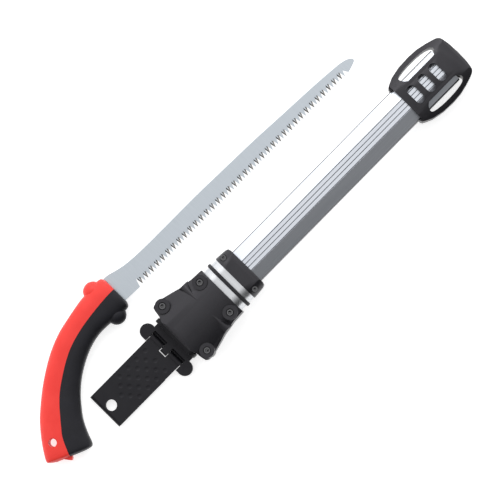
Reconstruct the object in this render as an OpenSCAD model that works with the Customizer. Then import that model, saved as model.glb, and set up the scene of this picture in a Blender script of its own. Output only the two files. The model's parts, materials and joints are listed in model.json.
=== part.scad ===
// Pruning hand saw with its scabbard and belt hanger, laid side by side.
// X runs along the scabbard from the belt hanger to the end cap, Y runs across
// from the scabbard to the saw, and Z = 0 is the surface that both lie on.

/* [Blade] */
// Length of blade in front of the handle
blade_length = 331; // [300:1:331]
// Thickness of the blade
blade_t = 1.5; // [1:0.1:2]
// Distance from one tooth to the next
tooth_pitch = 3.94; // [3:0.02:6]
// Height of the teeth
tooth_height = 5.6; // [3:0.1:7]

/* [Handle] */
// Radius of the thumb stop on the back of the handle
thumb_stop_r = 10.1; // [7:0.1:10.5]
// Radius of the finger stop under the handle
finger_stop_r = 9.8; // [7:0.1:10.5]
// Radius of the lanyard hole
lanyard_r = 4.25; // [3:0.05:5]
// Height of the middle of the blade above the surface
saw_z = 12; // [12:0.5:16]

/* [Scabbard] */
// Length of the sheath tube
tube_length = 319; // [300:1:320]
// Width of the sheath tube
tube_w = 40; // [39:0.5:41]
// Thickness of the sheath tube
tube_h = 22; // [20:0.5:23]
// Wall of the sheath tube
tube_wall = 1.5; // [1.2:0.1:1.6]
// Height of the scabbard's middle above the surface
axis_z = 19; // [19, 19.5]

/* [Mouth] */
// Wall of the moulded shells
shell_wall = 2.6; // [2:0.1:2.8]
// Diameter of each blade roller
roller_d = 9; // [7:0.1:9]
// Length of each blade roller
roller_w = 34; // [28:1:36]
// Diameter of the roller axles and of the hinge pin
pin_d = 3; // [2.9, 3]
// Play between a pin and what turns on it, on the radius
pin_play = 0.05; // [0.03:0.01:0.08]

/* [Belt hanger] */
// Length of the hanger from the hinge pin to its folded end
hanger_length = 87; // [70:1:90]
// Width of the hanger
hanger_w = 41; // [36:0.5:41]
// Radius of the hole near the folded end
hanger_hole_r = 5.75; // [4:0.05:6]
// Room for the belt inside the folded hanger
belt_gap = 4.2; // [4.1:0.1:4.4]

/* [Layout] */
// Place of the mouth of the scabbard
scabbard_at = [-109.5, -31.9]; // [-400:0.1:400]
// Place of the front of the handle
saw_at = [-119.65, 42.9]; // [-400:0.1:400]

/* [Hidden] */
$fn = 48;
plastic = "#3b3c40";
rubber = "#232428";
red = "#f0443f";
steel = "#c3cbd3";
aluminium = "#a9adb2";
tiny = 0.01;

// ---- places on the scabbard, from the mouth along X, with Z = 0 on its axis
half_height = axis_z;
mouth_end = 65.5;
sleeve_end = 83;
collar_end = 100;
ring_from = 72.2;
ring_to = 76;
sleeve_w = 53;
sleeve_h = 30;
sleeve_in = 5;
sleeve_grip = 3;
sleeve_wall = 2.2;
ring_wall = 1.9;
tube_from = 60;
tube_end = tube_from + tube_length;
cap_from = 325;
cap_end = 397;
cap_mid = 359;
cap_wall = 4;
cap_half = 15.5;
cap_w = 64;
cap_corner = 8;
cap_crown_r = 58;
crown_r = 70;
back_crown_r = 75;
back_crown_low = 2.5;
rear_pads = [[13.5, 31, 16.2], [13.5, -31, 16.2]];
fore_pads = [[56, 21, 18.7], [56, -21, 18.7]];
pads = concat(rear_pads, fore_pads);
pad_r = 7.5;
pad_gap = 0.4;
pad_groove = 2.6;
m4 = 2;
screw_head_r = 3.5;
screw_head_h = 2.4;
ring_gap = 0.4;
insert_r = 3;
insert_top = -3;
insert_h = 7;
throat_w = 43.5;
throat_h = 24.5;
throat_wall = 1.6;
throat_depth = 30;
flange_w = 52;
flange_h = 31;
flange_from = -2;
flange_to = 2.5;
chamber = [30, 58];
chamber_w = 44;
chamber_h = 25;
roller_x = 43;
roller_z = (blade_t + roller_d) / 2 + 0.05;
axle_length = 52;
collar_screw_at = [89.5, 22];
collar_pad_z = 9.5;
collar_head_r = 3;
collar_ring_gap = 0.5;
collar_nut_h = 2.6;
m3 = 1.5;
cap_screw_at = [332, 9];
cap_head_z = -12.4;
cap_head_r = 2.9;
cap_head_h = 1.6;

// ---- the hinge and the hanger, in the same frame
hinge_x = -16;
hinge_r = 3.3;
hinge_z = -half_height + hinge_r;
yoke_top = hinge_z + hinge_r;
ear_x = -15.7;
ear_r = 7.9;
ear_y = 26.1;
yoke_base_x = [-10, flange_from];
yoke_base_w = 48.8;
yoke_root = [18, 36, 3.5];
yoke_screws_at = [[9, 10], [9, -10]];
tongue_w = 7.8;
tongue_r = 5;
sill_gap = 0.3;
sill_h = 3;
hinge_gap = 0.7;
leaf_top = -11;
leaf_t = 2;
back_leaf_t = leaf_top + half_height - leaf_t - belt_gap;
back_leaf_end = -38;
fold_x = hinge_x - hanger_length;
hanger_hole_x = fold_x + 9.7;

// ---- the saw: X = 0 at the front of the handle, Z = 0 in the middle of the blade
tooth_first = 25;
tooth_last = 317;
tooth_tip_w = 0.5;
tooth_count = floor((tooth_last - tooth_first) / tooth_pitch);
edge_near = -12.2;
edge_far = -10.7;
spine = [[0, 18.6], [6, 18.4], [17, 15.4], [29.5, 13.1], [50, 11.9], [75, 11.6],
    [124, 11.4], [162, 10.3], [205, 8.9], [237, 7.1], [287, 4.4], [317, 1.9]];
tip = [[317, 1.9], [324, 0.4], [329.3, -2.2], [blade_length, -4.9], [329.6, -6.9],
    [324, -8.9], [318.6, -10.4]];
tang = [[1, 17], [-12, 14.5], [-45, 10], [-80, 2], [-104, -12], [-101, -22],
    [-84, -18], [-60, -8.5], [-30, -6], [1, -8]];
blade_screws_at = [[-30, 8], [-88, -5.5]];
m5 = 2.5;
blade_head_r = 4.5;
blade_head = [-10.6, -7.6];
blade_nut_r = 4.6;
blade_nut_h = 4;
// Rows of the handle: back edge, inner edge and thickness, from the front to the butt
handle_rows = [
    [[1, 16.5], [1, -14], 15],
    [[-1, 20.4], [-1, -17.8], 19.4],
    [[-4.5, 21.5], [-4.5, -19], 20.9],
    [[-9, 21.5], [-9, -18.8], 21.1],
    [[-17, 21.1], [-17, -18.2], 21.2],
    [[-33, 19.7], [-33, -16.9], 21.2],
    [[-53, 16], [-45, -17.6], 21.4],
    [[-70, 12], [-58, -21.1], 21.4],
    [[-88, 4.7], [-71.5, -27.3], 21.4],
    [[-105, -5], [-85, -35.8], 21.6],
    [[-120, -15.3], [-96, -45.3], 22],
    [[-133, -25.8], [-104.2, -54.5], 22.6],
    [[-144, -35.8], [-111, -63.4], 23.2],
    [[-154, -47.5], [-115.5, -71.5], 23.8],
    [[-161.3, -57.5], [-119, -79.5], 24],
    [[-167.6, -68], [-122.3, -88], 23.4],
    [[-166.8, -71.8], [-125.5, -90.2], 20.5],
    [[-161, -76.4], [-132, -88.8], 13]];
handle_steps = 3;
handle_sides = 20;
handle_square = 0.72;
// The line where the hard back of the handle meets the soft grip
grip_line = [[5, 3.5], [-13, 3], [-33, 1.1], [-53, -2.2], [-73, -8.4], [-93, -19.5],
    [-113, -34.2], [-133, -56.9], [-140, -67], [-150, -90], [-153, -96]];
thumb_stop_at = [-15.4, 17.4];
finger_stop_at = [-15.4, -15.9];
lanyard_at = [-149.4, -60.6];
stop_flat = 0.82;
butt_hook = [[-154, -79], [-148.4, -86.4], [-145.8, -84], [-143, -78]];
butt_hook_w = 12;

// A smooth curve through a list of points or numbers
function curve_at(a, b, c, d, t) =
    ((2 * b) + (c - a) * t + (2 * a - 5 * b + 4 * c - d) * t * t
    + (3 * b - a - 3 * c + d) * t * t * t) / 2;
function smooth(p, steps) = let (last = len(p) - 1) concat(
    [for (i = [0 : last - 1]) for (s = [0 : steps - 1])
        curve_at(p[max(i - 1, 0)], p[i], p[i + 1], p[min(i + 2, last)], s / steps)],
    [p[last]]);
function mirrored(p) = concat(p, [for (i = [len(p) - 1 : -1 : 0]) [p[i].x, -p[i].y]]);

module on_scabbard() {
    translate([scabbard_at.x, scabbard_at.y, axis_z]) children();
}

module on_saw() {
    translate([saw_at.x, saw_at.y, saw_z]) children();
}

// Extrudes a (Y, Z) outline along X, and an (X, Z) outline along Y
module along_x(from, to) {
    translate([from, 0, 0]) rotate([90, 0, 90]) linear_extrude(to - from) children();
}

module along_y(from, to) {
    translate([0, to, 0]) rotate([90, 0, 0]) linear_extrude(to - from) children();
}

module stadium(w, h) {
    square([w - h, h], center = true);
    for (side = [-1, 1]) translate([side * (w - h) / 2, 0]) circle(d = h);
}

module rounded(w, h, r) {
    square([w - 2 * r, h], center = true);
    square([w, h - 2 * r], center = true);
    for (i = [-1, 1]) for (j = [-1, 1])
        translate([i * (w / 2 - r), j * (h / 2 - r)]) circle(r);
}

module on_both_sides() {
    children();
    mirror([0, 1, 0]) children();
}

module y_cylinder(r, from, to) {
    translate([0, to, 0]) rotate([90, 0, 0]) cylinder(r = r, h = to - from);
}

// A pan head screw with a hexagon socket, its head's underside at Z = 0
module screw(r, length, head_r, head_h) {
    difference() {
        union() {
            translate([0, 0, -length]) cylinder(r = r, h = length + tiny);
            cylinder(r = head_r, h = head_h);
        }
        translate([0, 0, head_h / 2]) cylinder(r = head_r * 0.45, h = head_h, $fn = 6);
    }
}

// ---- sheath tube and end cap

module tube_outline(inset) {
    w = tube_w / 2 - inset;
    h = tube_h / 2 - inset;
    flat = 6.9;
    edge = w - 0.9;
    high = h * 0.555;
    low = h * 0.38;
    polygon([[-flat, h], [flat, h], [edge, high], [w, low], [w, -low], [edge, -high],
        [flat, -h], [-flat, -h], [-edge, -high], [-w, -low], [-w, low], [-edge, high]]);
}

module sheath_tube() {
    flute_w = 0.9;
    flute_d = 0.7;
    color(aluminium) on_scabbard() difference() {
        along_x(tube_from, tube_end) difference() {
            tube_outline(0);
            tube_outline(tube_wall);
            for (y = [-6.3, -2.1, 2.1, 6.3]) for (z = [-1, 1]) translate([y, z * tube_h / 2])
                polygon([[-flute_w / 2, tiny * z], [flute_w / 2, tiny * z], [0, -z * flute_d]]);
        }
        for (side = [-1, 1])
            translate([cap_screw_at.x, side * cap_screw_at.y, -tube_h])
                cylinder(r = m3, h = tube_h);
    }
}

cap_side = [[322, 21.5], [323, 23.6], [326, 25.4], [333, 28.6], [345, 31], [359, 31.6],
    [370, 30.8], [380, 28.5], [388, 26], [391.5, 24.6], [393.7, 22.6], [395, 19], [396.4, 10],
    [397, 0]];
cap_thick = [[321, 12.9], [333, 14.6], [345, 15.3], [cap_mid, cap_half], [372, 15.3],
    [384, 14.3], [393, 12.4], [396, 10.2], [397, 7]];
slot_edge = [[341.6, 14.4], [338, 17.3], [336, 21.8], [338, 24.3], [346.5, 25.8], [357, 26.2],
    [367.5, 25.8], [376.5, 24.4], [381.8, 21.6], [381.4, 18], [378.6, 15], [374.6, 14.3]];
window_x = [337.3, 352.7, 367.8];
window = [9.4, 21];
window_r = 4.2;
rim_scoop = 324.75;

module cap_form() {
    intersection() {
        linear_extrude(2 * cap_half, center = true) polygon(mirrored(cap_side));
        along_y(-40, 40) polygon(mirrored(cap_thick));
        along_x(320, 400) intersection() {
            rounded(cap_w, 2 * cap_half, cap_corner);
            between_crowns() circle(cap_crown_r, $fn = 128);
        }
    }
}

// The two round faces of the cap cross at its edges
module between_crowns() {
    intersection() {
        translate([0, cap_half - cap_crown_r]) children();
        translate([0, cap_crown_r - cap_half]) children();
    }
}

module strap_slot() {
    linear_extrude(3 * half_height, center = true) polygon(smooth(slot_edge, 3));
}

module end_cap() {
    color(plastic) on_scabbard() difference() {
        cap_form();
        along_x(cap_from - 10, tube_end) tube_outline(0);
        along_x(tube_end - tiny, cap_end - cap_wall) tube_outline(tube_wall);
        on_both_sides() strap_slot();
        for (x = window_x) translate([x, 0, 0]) linear_extrude(half_height + 1)
            rounded(window.x, window.y, window_r);
        // the front of the rim is scooped back a little
        translate([rim_scoop - 10, -20, 0]) cube([10, 40, half_height + 1]);
        for (side = [-1, 1]) translate([cap_screw_at.x, side * cap_screw_at.y, 0]) {
            translate([0, 0, -half_height]) cylinder(r = m3, h = half_height);
            translate([0, 0, cap_head_z - 5]) cylinder(r = cap_head_r + 0.1, h = 5);
        }
    }
}

module cap_screws() {
    color(steel) on_scabbard() for (side = [-1, 1])
        translate([cap_screw_at.x, side * cap_screw_at.y, cap_head_z])
            rotate([180, 0, 0]) screw(m3, 7.4, cap_head_r, cap_head_h);
}

// ---- collar, sleeve and ring between the mouth and the tube

module collar_form() {
    side = [[sleeve_end, 27.3], [96, 26], [99, 24.6], [99.8, 21.5], [collar_end, 0]];
    thick = [[sleeve_end, 16], [95, 15.6], [98.6, 14.6], [collar_end, 13.2]];
    intersection() {
        linear_extrude(40, center = true) polygon(mirrored(side));
        along_y(-30, 30) polygon(mirrored(thick));
        along_x(sleeve_end, collar_end) stadium(54.6, 32);
    }
}

module collar_blank() {
    difference() {
        collar_form();
        along_x(sleeve_end - 1, sleeve_end + sleeve_grip) stadium(sleeve_w, sleeve_h);
        along_x(sleeve_end, collar_end + 1) tube_outline(0);
    }
}

module collar_front() {
    color(plastic) on_scabbard() difference() {
        collar_blank();
        translate([0, -40, -40]) cube([200, 80, 40]);
        on_both_sides() translate([collar_screw_at.x, collar_screw_at.y, 0]) {
            translate([0, 0, -1]) cylinder(r = m3, h = 20);
            translate([0, 0, collar_pad_z]) cylinder(r = collar_head_r + collar_ring_gap, h = 10);
        }
    }
}

module collar_back() {
    color(plastic) on_scabbard() difference() {
        collar_blank();
        translate([0, -40, 0]) cube([200, 80, 40]);
        on_both_sides() translate([collar_screw_at.x, collar_screw_at.y, 0]) {
            translate([0, 0, -20]) cylinder(r = m3, h = 21);
            translate([0, 0, -20]) cylinder(r = collar_head_r, h = 20 - 6 + tiny, $fn = 6);
        }
    }
}

module collar_screws() {
    color(steel) on_scabbard() on_both_sides()
        translate([collar_screw_at.x, collar_screw_at.y, collar_pad_z])
            screw(m3, collar_pad_z + 8.6, collar_head_r, 1.9);
}

module collar_nuts() {
    color(steel) on_scabbard() on_both_sides()
        translate([collar_screw_at.x, collar_screw_at.y, -6 - collar_nut_h]) difference() {
            cylinder(r = collar_head_r, h = collar_nut_h, $fn = 6);
            translate([0, 0, -1]) cylinder(r = m3, h = 5);
        }
}

module mouth_sleeve() {
    color(aluminium) on_scabbard() along_x(mouth_end - sleeve_in, sleeve_end + sleeve_grip)
        difference() {
            stadium(sleeve_w, sleeve_h);
            stadium(sleeve_w - 2 * sleeve_wall, sleeve_h - 2 * sleeve_wall);
        }
}

module sleeve_ring() {
    color(rubber) on_scabbard() along_x(ring_from, ring_to) difference() {
        stadium(sleeve_w + 2 * ring_wall, sleeve_h + 2 * ring_wall);
        stadium(sleeve_w, sleeve_h);
    }
}

// ---- mouth housing

function housing_side(inset) = [[-0.5 + inset, 0], [0 + inset, 10], [1.5 + inset, 20],
    [4 + inset, 26 - inset / 2], [4.8 + inset, 33 - inset], [5.6 + inset, 36.4 - inset],
    [7.6 + inset, 37.8 - inset], [14, 38 - inset], [19.5, 36.6 - inset], [30, 33.8 - inset],
    [37, 31.7 - inset], [46, 30.4 - inset], [52, 29.3 - inset],
    [mouth_end - inset, 28.7 - inset]];
// The front edge of the housing slopes down to the mouth
housing_lip = [[-2, 12.5], [0.5, 15], [3, 17.2], [6, 18.5], [9, 19.2], [mouth_end + 1, 19.2]];

module housing_form(inset) {
    intersection() {
        translate([0, 0, -half_height + inset])
            linear_extrude(2 * (half_height - inset)) polygon(mirrored(housing_side(inset)));
        translate([inset, 0, -inset]) along_y(-50, 50) polygon(concat(housing_lip,
            [[mouth_end + 1, -half_height - 1 + inset], [-2, -half_height - 1 + inset]]));
        along_x(-5, mouth_end + 5) intersection() {
            translate([0, half_height - crown_r]) circle(crown_r - inset, $fn = 128);
            translate([0, back_crown_r - half_height - back_crown_low])
                circle(back_crown_r - inset, $fn = 128);
        }
    }
}

// The bulge over the end of a roller axle
module horn() {
    horn_x = roller_x - 1;
    intersection() {
        translate([horn_x, 11, 18.2]) rotate([-114, 0, 0])
            cylinder(r1 = 0.4, r2 = 6.6, h = 23);
        translate([horn_x - 10, 0, 0]) cube([20, 31, half_height]);
    }
}

// Everything that passes through the housing, which both shells leave free
module housing_ways() {
    along_x(flange_to - tiny, throat_depth) rounded(throat_w + 2 * throat_wall,
        throat_h + 2 * throat_wall, 5 + throat_wall);
    along_x(flange_from - 5, flange_to) rounded(flange_w, flange_h, 7);
    along_x(chamber[0] - tiny, chamber[1]) rounded(chamber_w, chamber_h, 4);
    along_x(chamber[1] - tiny, mouth_end - sleeve_in + tiny) tube_outline(-1);
    along_x(mouth_end - sleeve_in, mouth_end + 5) stadium(sleeve_w, sleeve_h);
}

// Walls inside the hollow shells that hold the liner, the axles and the sleeve
module housing_ribs() {
    intersection() {
        housing_form(shell_wall / 2);
        union() {
            for (x = [3, 26, 57]) translate([x, -35, -20]) cube([3.4, 70, 40]);
            on_both_sides() translate([29, chamber_w / 2, -20]) cube([30, 2.4, 40]);
            on_both_sides() translate([roller_x - 5, 20, -20]) cube([10, 6.6, 40]);
        }
    }
}

module axle_slots() {
    for (side = [-1, 1]) for (z = [-1, 1]) translate([roller_x, 0, 0]) {
        translate([0, 0, z * roller_z]) y_cylinder(pin_d / 2, -axle_length / 2, axle_length / 2);
        translate([-pin_d / 2, -axle_length / 2, z > 0 ? 0 : -roller_z])
            cube([pin_d, axle_length, roller_z]);
    }
}

module housing_blank() {
    difference() {
        union() {
            difference() {
                housing_form(0);
                housing_form(shell_wall);
            }
            housing_ribs();
            on_both_sides() horn();
            intersection() {
                for (p = pads) translate([p.x, p.y, -14.5]) cylinder(r = pad_r, h = 14.5 + p.z);
                translate([0, -50, -12]) cube([100, 100, 40]);
            }
        }
        for (p = pads) translate([p.x, p.y, p.z - pad_groove]) difference() {
            cylinder(r = pad_r + pad_gap, h = 20);
            translate([0, 0, -1]) cylinder(r = pad_r, h = 22);
        }
        housing_ways();
        axle_slots();
        for (p = pads) translate([p.x, p.y, -10]) cylinder(r = m4, h = 40);
    }
}

module mouth_front() {
    color(plastic) on_scabbard() difference() {
        housing_blank();
        translate([-20, -60, -40]) cube([120, 120, 40]);
        for (p = pads) translate([p.x, p.y, p.z - screw_head_h - 0.4])
            cylinder(r = screw_head_r + ring_gap, h = 20);
    }
}

module mouth_back() {
    color(plastic) on_scabbard() difference() {
        housing_blank();
        translate([-20, -60, 0]) cube([120, 120, 40]);
        for (p = pads) translate([p.x, p.y, insert_top - insert_h])
            cylinder(r = insert_r, h = insert_h);
        translate([flange_from - 5, -yoke_root[1] / 2, -half_height - 1])
            cube([yoke_root[0] + 5 - flange_from, yoke_root[1], yoke_root[2] + 1]);
        for (p = yoke_screws_at) translate([p.x, p.y, -half_height]) cylinder(r = m3, h = 20);
    }
}

module mouth_screws() {
    color(steel) on_scabbard() for (p = pads)
        translate([p.x, p.y, p.z - screw_head_h - 0.4])
            screw(m4, p.z - screw_head_h - 0.4 - insert_top + insert_h - 1, screw_head_r,
                screw_head_h);
}

module mouth_inserts() {
    color("#c9a75a") on_scabbard() for (p = pads)
        translate([p.x, p.y, insert_top - insert_h]) difference() {
            cylinder(r = insert_r, h = insert_h);
            translate([0, 0, -1]) cylinder(r = m4, h = insert_h + 2);
        }
}

module throat_liner() {
    color(rubber) on_scabbard() difference() {
        union() {
            along_x(flange_from, flange_to) rounded(flange_w, flange_h, 7);
            along_x(flange_to - tiny, throat_depth) rounded(throat_w + 2 * throat_wall,
                throat_h + 2 * throat_wall, 5 + throat_wall);
        }
        along_x(flange_from - 1, throat_depth + 1) rounded(throat_w, throat_h, 5);
    }
}

// ---- blade rollers

module axle(z) {
    color(steel) on_scabbard() translate([roller_x, 0, z])
        y_cylinder(pin_d / 2, -axle_length / 2, axle_length / 2);
}

module roller(z) {
    color(rubber) on_scabbard() translate([roller_x, 0, z]) difference() {
        y_cylinder(roller_d / 2, -roller_w / 2, roller_w / 2);
        y_cylinder(pin_d / 2 + pin_play, -roller_w, roller_w);
    }
}

module roller_axle_front() {
    axle(roller_z);
}

module roller_axle_back() {
    axle(-roller_z);
}

module roller_front() {
    roller(roller_z);
}

module roller_back() {
    roller(-roller_z);
}

// ---- belt hanger and its hinge

module hinge_bore(play) {
    translate([hinge_x, 0, hinge_z]) y_cylinder(pin_d / 2 + play, -50, 50);
}

module hanger_yoke() {
    t = 2 * hinge_r;
    inner = hanger_w / 2 + hinge_gap;
    root = flange_from - tiny;
    color(plastic) on_scabbard() difference() {
        union() {
            translate([yoke_base_x[0], -yoke_base_w / 2, -half_height])
                cube([yoke_base_x[1] - yoke_base_x[0], yoke_base_w, t]);
            difference() {
                translate([hinge_x + 1, -inner, -half_height]) cube([8, 2 * inner, sill_h]);
                translate([hinge_x, 0, hinge_z]) y_cylinder(hinge_r + sill_gap, -40, 40);
            }
            on_both_sides() intersection() {
                translate([ear_x - ear_r, inner, -half_height]) cube([2 * ear_r, 20, t]);
                union() {
                    translate([ear_x, ear_y, -half_height]) cylinder(r = ear_r, h = t);
                    translate([ear_x - ear_r, 0, -half_height]) cube([2 * ear_r, ear_y, t]);
                }
            }
            intersection() {
                translate([hinge_x - 10, -tongue_w / 2, -half_height])
                    cube([yoke_base_x[0] - hinge_x + 11, tongue_w, t]);
                union() {
                    translate([hinge_x, 0, hinge_z]) y_cylinder(tongue_r, -10, 10);
                    translate([hinge_x, -10, -half_height]) cube([10, 20, t]);
                }
            }
            translate([root, -yoke_root[1] / 2, -half_height])
                cube([yoke_root[0] - root, yoke_root[1], yoke_root[2]]);
        }
        hinge_bore(0);
        for (p = yoke_screws_at) translate([p.x, p.y, -half_height - 1]) {
            cylinder(r = m3, h = 20);
            cylinder(r = 3, h = 2.8);
        }
    }
}

module yoke_screws() {
    color(steel) on_scabbard() for (p = yoke_screws_at)
        translate([p.x, p.y, -half_height + 1.8]) rotate([180, 0, 0]) screw(m3, 2.9, 2.9, 1.5);
}

module hinge_pin() {
    color(steel) on_scabbard() translate([hinge_x, 0, hinge_z])
        y_cylinder(pin_d / 2, -31, 31);
}

module belt_hanger() {
    fold_r = (leaf_top + half_height) / 2;
    mid_z = leaf_top - fold_r;
    gap_r = belt_gap / 2;
    gap_z = leaf_top - leaf_t - gap_r;
    color(plastic) on_scabbard() difference() {
        along_y(-hanger_w / 2, hanger_w / 2) difference() {
            union() {
                translate([fold_x + fold_r, mid_z]) circle(fold_r);
                translate([fold_x + fold_r, leaf_top - leaf_t])
                    square([hinge_x - fold_x - fold_r - 3, leaf_t]);
                translate([fold_x + fold_r, -half_height])
                    square([back_leaf_end - fold_x - fold_r, back_leaf_t]);
                translate([hinge_x, hinge_z]) circle(hinge_r);
                translate([hinge_x - 7.5, hinge_z]) square([7.5, hinge_r]);
                translate([hinge_x - 7.5, hinge_z]) square([4.5, leaf_top - hinge_z]);
            }
            translate([fold_x + fold_r, gap_z]) circle(gap_r);
            translate([fold_x + fold_r, gap_z - gap_r])
                square([hinge_x - 7.5 - fold_x - fold_r, belt_gap]);
        }
        translate([hinge_x - tongue_r - hinge_gap, -tongue_w / 2 - hinge_gap, -half_height - 1])
            cube([40, tongue_w + 2 * hinge_gap, 20]);
        hinge_bore(pin_play);
        translate([hanger_hole_x, 0, -half_height - 1]) cylinder(r = hanger_hole_r, h = 20);
    }
}

// ---- the saw

function tooth(i) = let (x = tooth_first + (i + 0.5) * tooth_pitch,
    tip_y = edge_near + (edge_far - edge_near) * i / tooth_count)
    [[x - tooth_pitch / 2, tip_y + tooth_height],
        [x - tooth_tip_w / 2, tip_y], [x + tooth_tip_w / 2, tip_y]];

module blade() {
    teeth = [for (i = [tooth_count - 1 : -1 : 0]) for (k = [2 : -1 : 0]) tooth(i)[k]];
    color(steel) on_saw() translate([0, 0, -blade_t / 2]) difference() {
        union() {
            linear_extrude(blade_t) polygon(concat(smooth(spine, 3), smooth(tip, 3), teeth,
                [[22, -7], [20.6, -12.7], [0, -11.9]]));
            linear_extrude(blade_t) polygon(tang);
        }
        for (p = blade_screws_at) translate([p.x, p.y, -1]) cylinder(r = m5, h = 10);
    }
}

module handle_form() {
    rows = smooth([for (r = handle_rows) [r[0].x, r[0].y, r[1].x, r[1].y, r[2]]],
        handle_steps);
    function round_out(c) = sign(c) * pow(abs(c), handle_square);
    function ring(r) = [for (k = [0 : handle_sides - 1])
        let (a = 360 * (k + 0.5) / handle_sides, u = round_out(cos(a)), w = round_out(sin(a)))
        [(r[0] + r[2]) / 2 + u * (r[0] - r[2]) / 2,
            (r[1] + r[3]) / 2 + u * (r[1] - r[3]) / 2, w * r[4] / 2]];
    rings = [for (r = rows) each ring(r)];
    last = (len(rows) - 1) * handle_sides;
    polyhedron(rings, concat(
        [for (k = [1 : handle_sides - 2]) [0, k + 1, k]],
        [for (i = [0 : len(rows) - 2]) for (k = [0 : handle_sides - 1])
            let (a = i * handle_sides, b = a + handle_sides, n = (k + 1) % handle_sides)
            each [[a + k, b + n, b + k], [a + k, a + n, b + n]]],
        [for (k = [1 : handle_sides - 2]) [last, last + k, last + k + 1]]));
}

// The hard back of the handle lies on the outer side of the grip line
module back_side() {
    linear_extrude(60, center = true) polygon(concat(smooth(grip_line, 2),
        [[-190, -96], [-190, 40], [5, 40]]));
}

module tang_pocket() {
    translate([0, 0, -blade_t / 2]) linear_extrude(blade_t) polygon(tang);
    translate([-1, -11.93, -blade_t / 2]) cube([5, 30.56, blade_t]);
}

module screw_ways() {
    for (p = blade_screws_at) translate([p.x, p.y, 0]) {
        translate([0, 0, -20]) cylinder(r = m5, h = 20 + blade_t / 2 + blade_nut_h + 1);
        translate([0, 0, -20]) cylinder(r = blade_head_r + ring_gap, h = 20 + blade_head[1]);
        translate([0, 0, blade_t / 2]) cylinder(r = blade_nut_r, h = blade_nut_h, $fn = 6);
    }
}

// A round stop for the thumb or the finger
module stop(r) {
    scale([1, 1, stop_flat]) hull() sphere(r, $fn = 26);
}

module handle_core() {
    color(red) on_saw() difference() {
        union() {
            intersection() {
                handle_form();
                back_side();
            }
            translate([thumb_stop_at.x, thumb_stop_at.y, 0]) stop(thumb_stop_r);
            linear_extrude(butt_hook_w, center = true) polygon(butt_hook);
        }
        tang_pocket();
        screw_ways();
        translate([lanyard_at.x, lanyard_at.y, -20]) cylinder(r = lanyard_r, h = 40);
    }
}

module handle_grip() {
    color(rubber) on_saw() difference() {
        union() {
            handle_form();
            translate([finger_stop_at.x, finger_stop_at.y, 0]) stop(finger_stop_r);
        }
        back_side();
        tang_pocket();
        linear_extrude(butt_hook_w, center = true) polygon(butt_hook);
    }
}

module blade_screws() {
    color(steel) on_saw() for (p = blade_screws_at)
        translate([p.x, p.y, blade_head[1]]) rotate([180, 0, 0])
            screw(m5, blade_nut_h + blade_t / 2 - blade_head[1], blade_head_r,
                blade_head[1] - blade_head[0]);
}

module blade_nuts() {
    color(steel) on_saw() for (p = blade_screws_at)
        translate([p.x, p.y, blade_t / 2]) difference() {
            cylinder(r = blade_nut_r, h = blade_nut_h, $fn = 6);
            translate([0, 0, -1]) cylinder(r = m5, h = blade_nut_h + 2);
        }
}

sheath_tube();
end_cap();
cap_screws();
collar_front();
collar_back();
collar_screws();
collar_nuts();
mouth_sleeve();
sleeve_ring();
mouth_front();
mouth_back();
mouth_screws();
mouth_inserts();
throat_liner();
roller_axle_front();
roller_axle_back();
roller_front();
roller_back();
hanger_yoke();
yoke_screws();
hinge_pin();
belt_hanger();
blade();
handle_core();
handle_grip();
blade_screws();
blade_nuts();
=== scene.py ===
"""Finished model of a pruning hand saw beside its scabbard with a belt hanger."""
import json
import math

import bmesh
import bpy
from mathutils import Matrix, Vector


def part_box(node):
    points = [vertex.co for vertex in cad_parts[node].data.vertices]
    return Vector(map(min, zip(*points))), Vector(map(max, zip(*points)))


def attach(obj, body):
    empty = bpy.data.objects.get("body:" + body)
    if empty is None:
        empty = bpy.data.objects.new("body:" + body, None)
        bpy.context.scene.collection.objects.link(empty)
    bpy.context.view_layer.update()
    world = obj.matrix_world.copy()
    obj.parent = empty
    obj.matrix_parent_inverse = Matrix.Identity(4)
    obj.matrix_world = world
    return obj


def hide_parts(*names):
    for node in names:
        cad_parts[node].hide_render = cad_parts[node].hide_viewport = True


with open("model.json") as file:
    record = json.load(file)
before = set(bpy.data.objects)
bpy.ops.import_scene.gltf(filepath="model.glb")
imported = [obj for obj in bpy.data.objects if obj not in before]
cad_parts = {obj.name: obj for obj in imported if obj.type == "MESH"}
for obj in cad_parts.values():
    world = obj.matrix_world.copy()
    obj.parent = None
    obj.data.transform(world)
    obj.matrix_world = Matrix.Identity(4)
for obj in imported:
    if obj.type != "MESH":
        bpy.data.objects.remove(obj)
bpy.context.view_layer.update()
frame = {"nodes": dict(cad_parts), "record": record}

MM = 0.001
NODES = frame["nodes"]

# The scabbard's own frame: X = 0 at its mouth, Y = 0 and Z = 0 on the sheath's axis
tube_low, tube_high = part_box("sheath_tube")
liner_low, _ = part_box("throat_liner")
LINER_LIP = 2 * MM
SCABBARD = Vector((liner_low.x + LINER_LIP, (tube_low.y + tube_high.y) / 2,
                   (tube_low.z + tube_high.z) / 2))
# The saw's own frame: X = 0 at the front of the handle, Z = 0 in the middle of the blade
blade_low, blade_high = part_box("blade")
BLADE_LENGTH = 331 * MM
BLADE_ROOT_TOP = 18.6 * MM
SAW = Vector((blade_high.x - BLADE_LENGTH, blade_high.y - BLADE_ROOT_TOP,
              (blade_low.z + blade_high.z) / 2))


# ---- camera, light and floor

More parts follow.
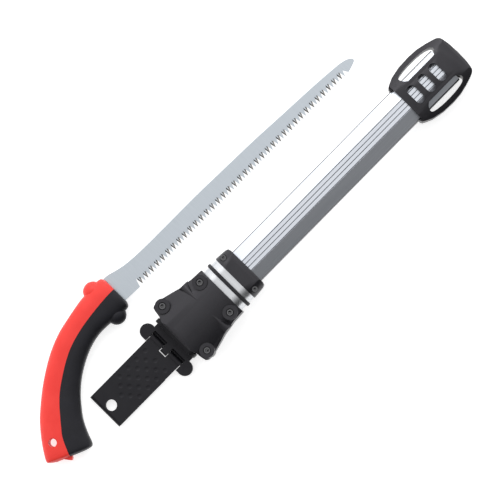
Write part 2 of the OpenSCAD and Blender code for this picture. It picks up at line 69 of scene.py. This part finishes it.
def add_camera():
    target = Vector((4.0, -22.4, 17.0)) * MM
    distance = 2.5
    field = 495.5 * MM
    tilt = Matrix.Rotation(math.radians(4.0), 4, "X")
    turn = Matrix.Rotation(math.radians(-45.4), 4, "Z")
    data = bpy.data.cameras.new("camera")
    data.sensor_width = 36
    data.lens = data.sensor_width * distance / field
    camera = bpy.data.objects.new("camera", data)
    camera.matrix_world = (Matrix.Translation(target) @ tilt @ turn
                           @ Matrix.Translation((0, 0, distance)))
    bpy.context.scene.collection.objects.link(camera)
    bpy.context.scene.camera = camera


def add_area(name, place, size, power):
    data = bpy.data.lights.new(name, "AREA")
    data.shape = "DISK"
    data.size = size
    data.energy = power
    lamp = bpy.data.objects.new(name, data)
    lamp.location = place
    lamp.rotation_euler = (-Vector(place)).to_track_quat("-Z", "Y").to_euler()
    bpy.context.scene.collection.objects.link(lamp)


def add_studio():
    world = bpy.data.worlds.new("studio")
    bpy.context.scene.world = world
    world.use_nodes = True
    nodes, links = world.node_tree.nodes, world.node_tree.links
    place = nodes.new("ShaderNodeTexCoord")
    toward = nodes.new("ShaderNodeVectorMath")
    toward.operation = "DOT_PRODUCT"
    toward.inputs[1].default_value = (0.4, 0.92, 0)
    links.new(place.outputs["Generated"], toward.inputs[0])
    shade = nodes.new("ShaderNodeMapRange")
    shade.inputs["From Min"].default_value = -0.7
    shade.inputs["From Max"].default_value = 0.36
    shade.inputs["To Min"].default_value = 0.06
    shade.inputs["To Max"].default_value = 1.3
    links.new(toward.outputs["Value"], shade.inputs["Value"])
    links.new(shade.outputs["Result"], nodes["Background"].inputs["Strength"])
    nodes["Background"].inputs["Color"].default_value = (1, 1, 1, 1)
    add_area("key", place=(0.8, 1.2, 1.7), size=0.9, power=7)
    bm = bmesh.new()
    bmesh.ops.create_grid(bm, x_segments=1, y_segments=1, size=4)
    floor = add_object("floor", bm)
    paper, shader = plain_material("floor_paper", (0.7, 0.7, 0.7), 0.9)
    shader.inputs["Emission Color"].default_value = (1, 1, 1, 1)
    shader.inputs["Emission Strength"].default_value = 0.72
    floor.data.materials.append(paper)
    bpy.context.scene.view_settings.view_transform = "Standard"


# ---- materials

def plain_material(name, colour, roughness, metallic=0.0):
    material = bpy.data.materials.new(name)
    material.use_nodes = True
    shader = material.node_tree.nodes["Principled BSDF"]
    shader.inputs["Base Color"].default_value = (*colour, 1)
    shader.inputs["Roughness"].default_value = roughness
    shader.inputs["Metallic"].default_value = metallic
    return material, shader


def noise(material, scale, stretch=(1, 1, 1), detail=3.0):
    """A noise texture in object space; scale is in features per metre."""
    nodes = material.node_tree.nodes
    links = material.node_tree.links
    place = nodes.new("ShaderNodeTexCoord")
    mapping = nodes.new("ShaderNodeMapping")
    mapping.inputs["Scale"].default_value = stretch
    links.new(place.outputs["Object"], mapping.inputs["Vector"])
    texture = nodes.new("ShaderNodeTexNoise")
    texture.inputs["Scale"].default_value = scale
    texture.inputs["Detail"].default_value = detail
    links.new(mapping.outputs["Vector"], texture.inputs["Vector"])
    return texture.outputs[0]


def spread(material, value, low, high):
    """Maps a pattern's middle range to low..high."""
    node = material.node_tree.nodes.new("ShaderNodeMapRange")
    node.inputs["From Min"].default_value = 0.3
    node.inputs["From Max"].default_value = 0.7
    node.inputs["To Min"].default_value = low
    node.inputs["To Max"].default_value = high
    material.node_tree.links.new(value, node.inputs["Value"])
    return node.outputs["Result"]


def colour_between(material, shader, value, first, second):
    ramp = material.node_tree.nodes.new("ShaderNodeValToRGB")
    ramp.color_ramp.elements[0].position = 0.35
    ramp.color_ramp.elements[0].color = (*first, 1)
    ramp.color_ramp.elements[1].position = 0.65
    ramp.color_ramp.elements[1].color = (*second, 1)
    material.node_tree.links.new(value, ramp.inputs["Fac"])
    material.node_tree.links.new(ramp.outputs["Color"], shader.inputs["Base Color"])


def relief(material, shader, value, height):
    """Turns a pattern into a bump of that height in metres."""
    bump = material.node_tree.nodes.new("ShaderNodeBump")
    bump.inputs["Strength"].default_value = 1.0
    bump.inputs["Distance"].default_value = height
    material.node_tree.links.new(value, bump.inputs["Height"])
    material.node_tree.links.new(bump.outputs["Normal"], shader.inputs["Normal"])


def moulded_plastic(name, dark, light, roughness, grain=0.035, specular=0.6):
    material, shader = plain_material(name, dark, roughness)
    shader.inputs["Specular IOR Level"].default_value = specular
    shader.inputs["Specular Tint"].default_value = (0.95, 0.93, 1, 1)
    colour_between(material, shader, noise(material, 60), dark, light)
    fine = noise(material, 2600, detail=2.0)
    relief(material, shader, fine, grain * MM)
    patchy = noise(material, 180)
    uneven = spread(material, patchy, roughness - 0.02, roughness + 0.04)
    material.node_tree.links.new(uneven, shader.inputs["Roughness"])
    return material


def soft_rubber(name, dark, light, roughness, grain=0.05, specular=0.45):
    material = moulded_plastic(name, dark, light, roughness, grain, specular)
    shader = material.node_tree.nodes["Principled BSDF"]
    shader.inputs["Sheen Weight"].default_value = 0.08
    shader.inputs["Sheen Roughness"].default_value = 0.5
    return material


def drawn_metal(name, dark, light, roughness, along, grain=0.006, spot=0.1):
    """Metal with fine lines; along is small in their direction and 1 across them."""
    material, shader = plain_material(name, dark, roughness, metallic=1.0)
    lines = noise(material, 1500, along, detail=4.0)
    colour_between(material, shader, lines, dark, light)
    uneven = spread(material, lines, roughness - spot / 2, roughness + spot)
    material.node_tree.links.new(uneven, shader.inputs["Roughness"])
    relief(material, shader, lines, grain * MM)
    return material


MATERIALS = {
    "sheath_aluminium": drawn_metal("sheath_aluminium", (0.68, 0.715, 0.775),
                                    (0.72, 0.75, 0.805), 0.3, (0.01, 1, 1), 0.0008, 0.04),
    # Darker copies of the sheath metal: painted shade for the flute walls and for the tube's
    # two narrow sides
    "sheath_flute_painted_shade": drawn_metal("sheath_flute_painted_shade", (0.42, 0.43, 0.46), (0.47, 0.48, 0.51),
                                 0.4, (0.01, 1, 1), 0.0008, 0.04),
    "sheath_side_painted_shade": drawn_metal("sheath_side_painted_shade", (0.11, 0.11, 0.115), (0.14, 0.14, 0.145),
                               0.4, (0.01, 1, 1), 0.0008, 0.04),
    "sleeve_aluminium": drawn_metal("sleeve_aluminium", (0.62, 0.635, 0.66),
                                    (0.72, 0.73, 0.75), 0.32, (1, 0.03, 0.03), 0.003),
    "housing_black": moulded_plastic("housing_black", (0.006, 0.006, 0.008),
                                     (0.009, 0.009, 0.011), 0.37, specular=0.58),
    "hanger_black": moulded_plastic("hanger_black", (0.006, 0.006, 0.008),
                                    (0.009, 0.009, 0.011), 0.42, specular=0.33),
    "liner_black": moulded_plastic("liner_black", (0.005, 0.005, 0.006),
                                   (0.008, 0.008, 0.009), 0.5, specular=0.2),
    "ring_rubber": soft_rubber("ring_rubber", (0.012, 0.012, 0.014),
                               (0.019, 0.019, 0.021), 0.7),
    "roller_rubber": soft_rubber("roller_rubber", (0.02, 0.02, 0.022),
                                 (0.03, 0.03, 0.033), 0.65),
    "screw_steel": drawn_metal("screw_steel", (0.11, 0.11, 0.115), (0.15, 0.15, 0.155),
                               0.34, (1, 1, 0.1)),
    # Near-black steel: painted shade for the screw sockets and for the ring round each head
    "screw_painted_shade": drawn_metal("screw_painted_shade", (0.004, 0.004, 0.004), (0.008, 0.008, 0.008),
                                0.5, (1, 1, 0.1)),
    "screw_black": drawn_metal("screw_black", (0.10, 0.10, 0.11), (0.16, 0.16, 0.17),
                               0.35, (1, 1, 0.1)),
    "insert_brass": drawn_metal("insert_brass", (0.60, 0.42, 0.16), (0.70, 0.52, 0.24),
                                0.35, (1, 1, 0.1)),
    "blade_steel": drawn_metal("blade_steel", (0.51, 0.555, 0.60), (0.54, 0.585, 0.63),
                               0.3, (1, 0.03, 1), 0.0004, 0.05),
    # Darker copies of the blade steel: painted shade on the tooth bevels, lighter on the
    # trailing bevels that face the light
    "tooth_bevel_painted_shade": drawn_metal("tooth_bevel_painted_shade", (0.12, 0.11, 0.098), (0.19, 0.175, 0.16),
                                0.38, (1, 0.2, 1), 0.002),
    "tooth_trailing_painted_shade": drawn_metal("tooth_trailing_painted_shade", (0.32, 0.30, 0.275),
                                  (0.40, 0.375, 0.345), 0.38, (1, 0.2, 1), 0.002),
    "handle_red": soft_rubber("handle_red", (0.93, 0.037, 0.024), (0.97, 0.045, 0.031),
                              0.45, 0.025),
    "grip_black": soft_rubber("grip_black", (0.006, 0.0065, 0.009), (0.009, 0.0095, 0.013),
                              0.46, specular=0.34),
}
SLOTS = {part["node"]: part["material_slot"] for part in frame["record"]["subparts"]}


def dress_frame():
    for name, node in NODES.items():
        node.data.materials.clear()
        node.data.materials.append(MATERIALS[SLOTS[name]])


# ---- making pieces

# Faces that meet at more than this many degrees show a sharp edge
SHARP = 32
SHARP_ON_FLATS = 12
SAME_POINT = 1e-5
BALL_SEGMENTS = 64


def smooth(rows, steps):
    """A Catmull-Rom curve through rows of numbers, each row a tuple."""
    last = len(rows) - 1
    out = []
    for i in range(last):
        a, b, c, d = (rows[max(i - 1, 0)], rows[i], rows[i + 1], rows[min(i + 2, last)])
        for s in range(steps):
            t = s / steps
            out.append(tuple(
                (2 * q + (r - p) * t + (2 * p - 5 * q + 4 * r - v) * t ** 2
                 + (3 * q - p - 3 * r + v) * t ** 3) / 2
                for p, q, r, v in zip(a, b, c, d)))
    return out + [rows[last]]


def add_object(name, bm):
    mesh = bpy.data.meshes.new(name)
    bm.to_mesh(mesh)
    bm.free()
    piece = bpy.data.objects.new(name, mesh)
    bpy.context.scene.collection.objects.link(piece)
    return piece


def weigh_normals(piece):
    """Lets the wide faces decide how the broken edges beside them are shaded."""
    modifier = piece.modifiers.new("weigh", "WEIGHTED_NORMAL")
    modifier.keep_sharp = True
    graph = bpy.context.evaluated_depsgraph_get()
    before = piece.data
    mesh = bpy.data.meshes.new_from_object(piece.evaluated_get(graph))
    piece.modifiers.clear()
    piece.data = mesh
    bpy.data.meshes.remove(before)
    mesh.name = piece.name


def add_piece(name, bm, slot, nodes, origin=None, sharp=SHARP, extra=()):
    """Places a piece made in millimetres, and lets it stand for its CAD nodes."""
    if origin is not None:
        bmesh.ops.scale(bm, vec=(MM, MM, MM), verts=bm.verts)
        bmesh.ops.translate(bm, vec=origin, verts=bm.verts)
    piece = add_object(name, bm)
    mesh = piece.data
    mesh.polygons.foreach_set("use_smooth", [True] * len(mesh.polygons))
    mesh.set_sharp_from_angle(angle=math.radians(sharp))
    mesh.materials.append(MATERIALS[slot])
    for further in extra:
        mesh.materials.append(MATERIALS[further])
    weigh_normals(piece)
    body = next(b for b, members in frame["record"]["behaviour"]["bodies"].items()
                if nodes[0] in members)
    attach(piece, body)
    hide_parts(*nodes)


def combined(bm, tool, operation):
    """One closed solid from two: UNION, DIFFERENCE or INTERSECT."""
    base = add_object("base", bm)
    other = add_object("tool", tool)
    modifier = base.modifiers.new("combine", "BOOLEAN")
    modifier.operation = operation
    modifier.solver = "EXACT"
    modifier.object = other
    result = bmesh.new()
    result.from_object(base, bpy.context.evaluated_depsgraph_get())
    for temporary in (base, other):
        mesh = temporary.data
        bpy.data.objects.remove(temporary)
        bpy.data.meshes.remove(mesh)
    bmesh.ops.remove_doubles(result, verts=result.verts, dist=SAME_POINT)
    return result


def plate(outline, low, high):
    """A flat plate from an (x, y) outline, between two heights."""
    bm = bmesh.new()
    face = bm.faces.new([bm.verts.new((x, y, low)) for x, y in outline])
    grown = bmesh.ops.extrude_face_region(bm, geom=[face])["geom"]
    bmesh.ops.translate(bm, vec=(0, 0, high - low),
                        verts=[v for v in grown if isinstance(v, bmesh.types.BMVert)])
    bmesh.ops.recalc_face_normals(bm, faces=bm.faces)
    return bm


def soften(bm, edges, width):
    bmesh.ops.bevel(bm, geom=list(edges), offset=width, segments=2, profile=0.5,
                    affect="EDGES", material=-1, clamp_overlap=True)


def ball(radius, centre, flat):
    """A ball, flattened along Z by that share."""
    bm = bmesh.new()
    bmesh.ops.create_uvsphere(bm, u_segments=BALL_SEGMENTS, v_segments=BALL_SEGMENTS // 2,
                              radius=radius)
    bmesh.ops.scale(bm, vec=(1, 1, flat), verts=bm.verts)
    bmesh.ops.translate(bm, vec=centre, verts=bm.verts)
    return bm


def turned(profile, centre, segments=48):
    """A solid turned about a vertical axis, from (radius, height) points."""
    bm = bmesh.new()
    verts = [bm.verts.new((r, 0, z)) for r, z in profile]
    edges = [bm.edges.new(pair) for pair in zip(verts, verts[1:])]
    bmesh.ops.spin(bm, geom=verts + edges, cent=(0, 0, 0), axis=(0, 0, 1),
                   angle=math.tau, steps=segments, use_merge=True)
    bmesh.ops.remove_doubles(bm, verts=bm.verts, dist=SAME_POINT)
    bmesh.ops.recalc_face_normals(bm, faces=bm.faces)
    bmesh.ops.translate(bm, vec=centre, verts=bm.verts)
    return bm


def loft(rings):
    """Skins closed rings of points, in order, and closes both ends."""
    bm = bmesh.new()
    before = None
    for ring in rings:
        verts = [bm.verts.new(point) for point in ring]
        edges = [bm.edges.new(pair) for pair in zip(verts, verts[1:] + verts[:1])]
        if before:
            bmesh.ops.bridge_loops(bm, edges=before + edges)
        before = edges
    bmesh.ops.holes_fill(bm, edges=[e for e in bm.edges if e.is_boundary], sides=0)
    bmesh.ops.recalc_face_normals(bm, faces=bm.faces)
    return bm


# ---- blade

BLADE_T = 1.5
TOOTH_PITCH = 3.94
TOOTH_HEIGHT = 5.6
TOOTH_LEAN = 0.34
TOOTH_FIRST = 24
TOOTH_PAIRS = 37
EDGE_NEAR = -12.2
EDGE_RISE = 1.5
TOOTH_LAST = TOOTH_FIRST + 2 * TOOTH_PAIRS * TOOTH_PITCH
STRIP = 2.4
SPINE = [(-4, 18.5), (0, 18.6), (6, 18.4), (17, 15.4), (29.5, 13.1), (50, 11.9),
         (75, 11.6), (124, 11.4), (162, 10.3), (205, 8.9), (237, 7.1), (287, 4.4),
         (317, 1.9)]
TIP = [(317, 1.9), (324, 0.4), (329.3, -2.2), (331, -4.9), (329.6, -6.9), (324, -8.9),
       (318.6, -10.4)]
TIP_INNER = (TOOTH_LAST + 0.2, -6)
HEEL = [(22.6, -6.6), (20.9, -12.7), (0, -11.9), (-4, -11.8)]
# Half the width of a tooth's point, and the flat land that its bevels leave on one side
POINT_HALF = 0.15
LAND_IN = 0.95
LAND_RISE = 2
LAND_RISE_TRAILING = 1.8
LAND_TOP = (0.35, 2.8)
BACK_EDGE = 0.22


def gullet_y(x):
    along = (x - TOOTH_FIRST) / (TOOTH_LAST - TOOTH_FIRST)
    return EDGE_NEAR + TOOTH_HEIGHT + EDGE_RISE * along


def add_tooth(bm, x, side):
    """One ground tooth from x on; its bevels, which carry painted shade, are on the side
    given, 1 or -1.
    """
    near, far = side * BLADE_T / 2, -side * BLADE_T / 2
    left, right = gullet_y(x), gullet_y(x + TOOTH_PITCH)
    tip = (left + right) / 2 - TOOTH_HEIGHT

    def corner(dx, y, z):
        return bm.verts.new((x + dx, y, z))

    p = TOOTH_PITCH
    top_near = corner(0, left + STRIP, near), corner(p, right + STRIP, near)
    top_far = corner(0, left + STRIP, far), corner(p, right + STRIP, far)
    root_near = corner(0, left, near), corner(p, right, near)
    root_far = corner(0, left, far), corner(p, right, far)
    lean = p * TOOTH_LEAN
    point = corner(lean - POINT_HALF, tip, far), corner(lean + POINT_HALF, tip, far)
    land = (corner(LAND_IN, left + LAND_RISE, near),
            corner(lean + LAND_TOP[0], tip + LAND_TOP[1], near),
            corner(p - LAND_IN, right + LAND_RISE_TRAILING, near))
    flat = [(root_near[1], land[2], root_far[1]),
            (top_near[0], root_near[0], *land, root_near[1], top_near[1]),
            (top_far[0], top_far[1], root_far[1], point[1], point[0], root_far[0])]
    ground = [(root_far[0], point[0], land[1], land[0]),
              (root_near[0], root_far[0], land[0]),
              (point[0], point[1], land[1])]
    trailing = [(root_far[1], land[2], land[1], point[1])]
    # Painted shade on the bevels: material 1 on those turned from the light, the lighter
    # material 2 on the trailing ones
    for faces, material in ((flat, 0), (ground, 1), (trailing, 2)):
        for face in faces:
            bm.faces.new(face).material_index = material


def build_blade():
    teeth_x = [TOOTH_FIRST + i * TOOTH_PITCH for i in range(2 * TOOTH_PAIRS, -1, -1)]
    seam = [(x, gullet_y(x) + STRIP) for x in teeth_x]
    outline = smooth(SPINE, 4) + smooth(TIP, 5)[1:] + [TIP_INNER] + seam + HEEL
    bm = plate(outline, -BLADE_T / 2, BLADE_T / 2)
    seam_ends = seam[0][0] + 1e-4, seam[-1][0] - 1e-4
    on_seam = [f for f in bm.faces if abs(f.normal.z) < 0.5 and all(
        seam_ends[1] < v.co.x < seam_ends[0]
        and abs(v.co.y - gullet_y(v.co.x) - STRIP) < 1e-3 for v in f.verts)]
    bmesh.ops.delete(bm, geom=on_seam, context="FACES")
    for i in range(2 * TOOTH_PAIRS):
        add_tooth(bm, TOOTH_FIRST + i * TOOTH_PITCH, 1 if i % 2 == 0 else -1)
    bmesh.ops.remove_doubles(bm, verts=bm.verts, dist=1e-3)
    bmesh.ops.holes_fill(bm, edges=[e for e in bm.edges if e.is_boundary], sides=0)
    bmesh.ops.recalc_face_normals(bm, faces=bm.faces)
    back_edges = [e for e in bm.edges if e.calc_length() > 0.3 and all(
        v.co.y > -4.5 and v.co.x > -3 or v.co.x > TOOTH_LAST + 1 for v in e.verts)
        and e.is_manifold and e.calc_face_angle() > 1.2]
    soften(bm, [e for e in back_edges if abs(e.verts[0].co.z - e.verts[1].co.z) < 0.1],
           BACK_EDGE)
    add_piece("saw_blade", bm, "blade_steel", ["blade"], SAW, sharp=SHARP_ON_FLATS,
              extra=["tooth_bevel_painted_shade", "tooth_trailing_painted_shade"])


# ---- handle

# Back edge, inner edge and thickness of the handle, from the front to the butt
HANDLE_ROWS = [
    (1, 16.5, 1, -14, 15), (-1, 20.4, -1, -17.8, 19.4), (-4.5, 21.5, -4.5, -19, 20.9),
    (-9, 21.5, -9, -18.8, 21.1),
    (-17, 21.1, -17, -18.2, 21.2), (-33, 19.7, -33, -16.9, 21.2),
    (-53, 16, -45, -17.6, 21.4), (-70, 12, -58, -21.1, 21.4),
    (-88, 4.7, -71.5, -27.3, 21.4), (-105, -5, -85, -35.8, 21.6),
    (-120, -15.3, -96, -45.3, 22), (-133, -25.8, -104.2, -54.5, 22.6),
    (-144, -35.8, -111, -63.4, 23.2), (-154, -47.5, -115.5, -71.5, 23.8),
    (-161.3, -57.5, -119, -79.5, 24), (-167.6, -68, -122.3, -88, 23.4),
    (-166.8, -71.8, -125.5, -90.2, 20.5), (-161, -76.4, -132, -88.8, 13)]
GRIP_LINE = [(5, 3.5), (-13, 3), (-33, 1.1), (-53, -2.2), (-73, -8.4), (-93, -19.5),
             (-113, -34.2), (-133, -56.9), (-140, -67), (-150, -90), (-153, -96)]
HANDLE_SQUARE = 0.72
THUMB_STOP = (-15.4, 17.4, 0)
THUMB_STOP_R = 10.1
FINGER_STOP = (-15.4, -15.9, 0)
FINGER_STOP_R = 9.8
STOP_FLAT = 0.82
LANYARD = (-149.4, -60.6)
LANYARD_R = 4.25
# The way through for the lanyard, wider at both mouths
LANYARD_WAY = [(0, -14), (6.4, -14), (LANYARD_R + 0.05, -10.6), (LANYARD_R + 0.05, 10.6),
               (6.4, 14), (0, 14)]
BUTT_HOOK = [(-154, -79), (-148.4, -86.4), (-145.8, -84), (-143, -78)]
BUTT_HOOK_HALF = 6
BUTT_HOOK_EDGE = 0.8
HANDLE_EDGE = 0.45


def border_share(back, inner):
    """Where the grip line crosses a row: 1 at its back edge, -1 at its inner edge."""
    middle, reach = (back + inner) / 2, (back - inner) / 2
    line = [Vector(p) for p in smooth(GRIP_LINE, 4)]
    for a, b in zip(line, line[1:]):
        span = b - a
        cross = reach.x * span.y - reach.y * span.x
        if abs(cross) < 1e-9:
            continue
        away = a - middle
        share = (away.x * span.y - away.y * span.x) / cross
        along = (away.x * reach.y - away.y * reach.x) / cross
        if 0 <= along <= 1 and abs(share) < 0.9:
            return share
    return 0.0


def handle_rings(is_back, sides=10, steps=5):
    """Rings of one half of the handle, between its edge and the grip line."""
    rings = []
    for row in smooth(HANDLE_ROWS, steps):
        back, inner, thick = Vector(row[0:2]), Vector(row[2:4]), row[4]
        share = border_share(back, inner)
        limit = math.acos(math.copysign(abs(share) ** (1 / HANDLE_SQUARE), share))
        start = 0 if is_back else math.pi
        half = []
        for k in range(sides + 1):
            turn = start + (limit - start) * k / sides
            u = math.copysign(abs(math.cos(turn)) ** HANDLE_SQUARE, math.cos(turn))
            w = abs(math.sin(turn)) ** HANDLE_SQUARE * thick / 2
            place = (back + inner) / 2 + (back - inner) / 2 * u
            half.append((place.x, place.y, w))
        rings.append(half + [(x, y, -z) for x, y, z in half[:0:-1]])
    return rings


def handle_half(is_back):
    bm = loft(handle_rings(is_back))
    edges = [e for e in bm.edges if e.is_manifold and e.calc_face_angle() > 0.7]
    soften(bm, edges, HANDLE_EDGE)
    return bm


def build_handle():
    core = combined(handle_half(True), ball(THUMB_STOP_R, THUMB_STOP, STOP_FLAT), "UNION")
    hook = plate(BUTT_HOOK, -BUTT_HOOK_HALF, BUTT_HOOK_HALF)
    soften(hook, hook.edges, BUTT_HOOK_EDGE)
    core = combined(core, hook, "UNION")
    core = combined(core, turned(LANYARD_WAY, (*LANYARD, 0)), "DIFFERENCE")
    add_piece("handle_back", core, "handle_red", ["handle_core"], SAW)
    grip = combined(handle_half(False), ball(FINGER_STOP_R, FINGER_STOP, STOP_FLAT), "UNION")
    add_piece("handle_soft_grip", grip, "grip_black", ["handle_grip"], SAW)


# ---- parts that keep the frame's own shape and get their edges broken

# Name of the piece and width of the broken edges
BROKEN_EDGES = {
    "cap_screws": ("end_cap_screws", 0.2),
    "collar_front": ("collar_front_half", 0.7), "collar_back": ("collar_back_half", 0.7),
    "mouth_sleeve": ("mouth_tube", 0.4), "sleeve_ring": ("rubber_ring", 0.9),
    "mouth_front": ("mouth_front_shell", 0.7), "mouth_back": ("mouth_back_shell", 0.7),
    "throat_liner": ("mouth_liner", 0.5), "hanger_yoke": ("hinge_yoke", 0.7),
    "yoke_screws": ("hinge_screws", 0.2), "blade_screws": ("handle_screws", 0.3),
    "hinge_pin": ("hinge_rod", 0.3), "roller_front": ("front_blade_roller", 0.6),
    "roller_back": ("back_blade_roller", 0.6)}
# Edges that turn by more than this many radians get broken
EDGE_TURN = 0.5

# The tube's flutes end this far from its axis, and its side faces are this wide; both get
# painted shade
FLUTES_END = 7.2
TUBE_SIDE = 1.2
TUBE_EDGE = 0.08
# The screws that show: their places and head tops
MOUTH_SCREWS = [(13.5, 31, 15.8), (13.5, -31, 15.8), (56, 21, 18.3), (56, -21, 18.3)]
COLLAR_SCREWS = [(89.5, 22, 11.4), (89.5, -22, 11.4)]
CAP_EDGE = 0.9
# The front of the cap's rim is cut off past this place, above this height
RIM_SCOOP = 324.75
RIM_SCOOP_Z = 9
# The star sockets, as shares of the head's radius, and the pin in the middle of each
STAR_CORNERS = 12
STAR_OUT = 0.56
STAR_IN = 0.42
STAR_DEEP = 1.5
STAR_PIN = 0.55


def broken(node, width):
    """The node's own mesh with its convex edges broken."""
    bm = bmesh.new()
    bm.from_mesh(NODES[node].data)
    bmesh.ops.remove_doubles(bm, verts=bm.verts, dist=0.002 * MM)
    bmesh.ops.dissolve_limit(bm, angle_limit=math.radians(0.6), verts=bm.verts, edges=bm.edges)
    edges = [e for e in bm.edges if e.is_manifold and e.is_convex
             and e.calc_face_angle() > EDGE_TURN]
    soften(bm, edges, width * MM)
    return bm


def in_scabbard(bm):
    """Brings a mesh from the frame into the scabbard's own frame, in millimetres."""
    bmesh.ops.translate(bm, vec=-SCABBARD, verts=bm.verts)
    bmesh.ops.scale(bm, vec=(1 / MM, 1 / MM, 1 / MM), verts=bm.verts)
    return bm


def build_tube():
    """The sheath tube, with painted shade in its flutes and down its two sides: darker,
    rougher copies of its metal.
    """
    bm = in_scabbard(broken("sheath_tube", TUBE_EDGE))
    side = max(v.co.y for v in bm.verts) - TUBE_SIDE
    # Painted shade: the flute walls and the narrow sides get the darker copies of the metal
    for face in bm.faces:
        across = abs(face.calc_center_median().y)
        if abs(face.normal.y) > 0.45:
            face.material_index = 1 if across < FLUTES_END else 2 if across > side else 0
    add_piece("sheath_extrusion", bm, "sheath_aluminium", ["sheath_tube"], SCABBARD,
              sharp=SHARP_ON_FLATS, extra=["sheath_flute_painted_shade", "sheath_side_painted_shade"])


def build_cap():
    """The end cap; only the back half of its rim reaches past the scoop."""
    bm = in_scabbard(broken("end_cap", CAP_EDGE))
    scoop = plate([(315, -30), (RIM_SCOOP, -30), (RIM_SCOOP, 30), (315, 30)], RIM_SCOOP_Z, 20)
    add_piece("end_cap_moulding", combined(bm, scoop, "DIFFERENCE"), SLOTS["end_cap"],
              ["end_cap"], SCABBARD)


def build_screws(node, name, width, places, head_r):
    """Screws with a deep star socket, the small pin in the middle of it, and painted shade in
    the socket and round the head.
    """
    bm = in_scabbard(broken(node, width))
    top = max(v.co.z for v in bm.verts)
    for x, y, head_top in places:
        star = [(x + r * math.cos(a), y + r * math.sin(a)) for r, a in (
            (head_r * (STAR_OUT if k % 2 else STAR_IN), math.tau * k / STAR_CORNERS)
            for k in range(STAR_CORNERS))]
        bm = combined(bm, plate(star, head_top - STAR_DEEP, top + 1), "DIFFERENCE")
        pin = turned([(0, -STAR_DEEP - 0.3), (STAR_PIN, -STAR_DEEP - 0.3),
                      (STAR_PIN, -0.7), (STAR_PIN - 0.1, -0.55), (0, -0.5)],
                     (x, y, head_top), 16)
        bm = combined(bm, pin, "UNION")
    # Painted shade: the socket walls and a ring round each head get the near-black steel
    for face in bm.faces:
        middle = face.calc_center_median()
        for x, y, head_top in places:
            reach = math.hypot(middle.x - x, middle.y - y)
            in_socket = (STAR_PIN < reach < head_r * STAR_OUT
                         and head_top - 2 * STAR_DEEP < middle.z
                         and (middle.z < head_top - 0.6 or face.normal.z < 0.7))
            if in_socket or head_r - width - 0.1 < reach < head_r + 1:
                face.material_index = 1
    add_piece(name, bm, "screw_steel", [node], SCABBARD, extra=["screw_painted_shade"])


# The dimples pressed into the front of the belt hanger, from the scabbard's mouth
DIMPLE_ROWS = [(-14, -31, 4), (-7, -37, 4), (0, -31, 5), (7, -37, 4), (14, -31, 4)]
DIMPLE_STEP = 12
DIMPLE = [(0, -0.42), (1.3, -0.4), (2.1, -0.27), (2.75, 0), (2.9, 0.1), (2.9, 1.5), (0, 1.5)]
LEAF_TOP = -11
LEAF_EDGE = 0.5


def build_hanger():
    bm = in_scabbard(broken("belt_hanger", LEAF_EDGE))
    for y, first, count in DIMPLE_ROWS:
        for i in range(count):
            dish = turned(DIMPLE, (first - i * DIMPLE_STEP, y, LEAF_TOP), 24)
            bm = combined(bm, dish, "DIFFERENCE")
    add_piece("belt_hanger_clip", bm, "hanger_black", ["belt_hanger"], SCABBARD)


add_camera()
add_studio()
dress_frame()
build_blade()
build_handle()
build_hanger()
build_tube()
build_cap()
build_screws("mouth_screws", "mouth_screw_set", width=0.5, places=MOUTH_SCREWS, head_r=3.5)
build_screws("collar_screws", "collar_screw_set", width=0.4, places=COLLAR_SCREWS, head_r=3)
for node, (name, width) in BROKEN_EDGES.items():
    add_piece(name, broken(node, width), SLOTS[node], [node])
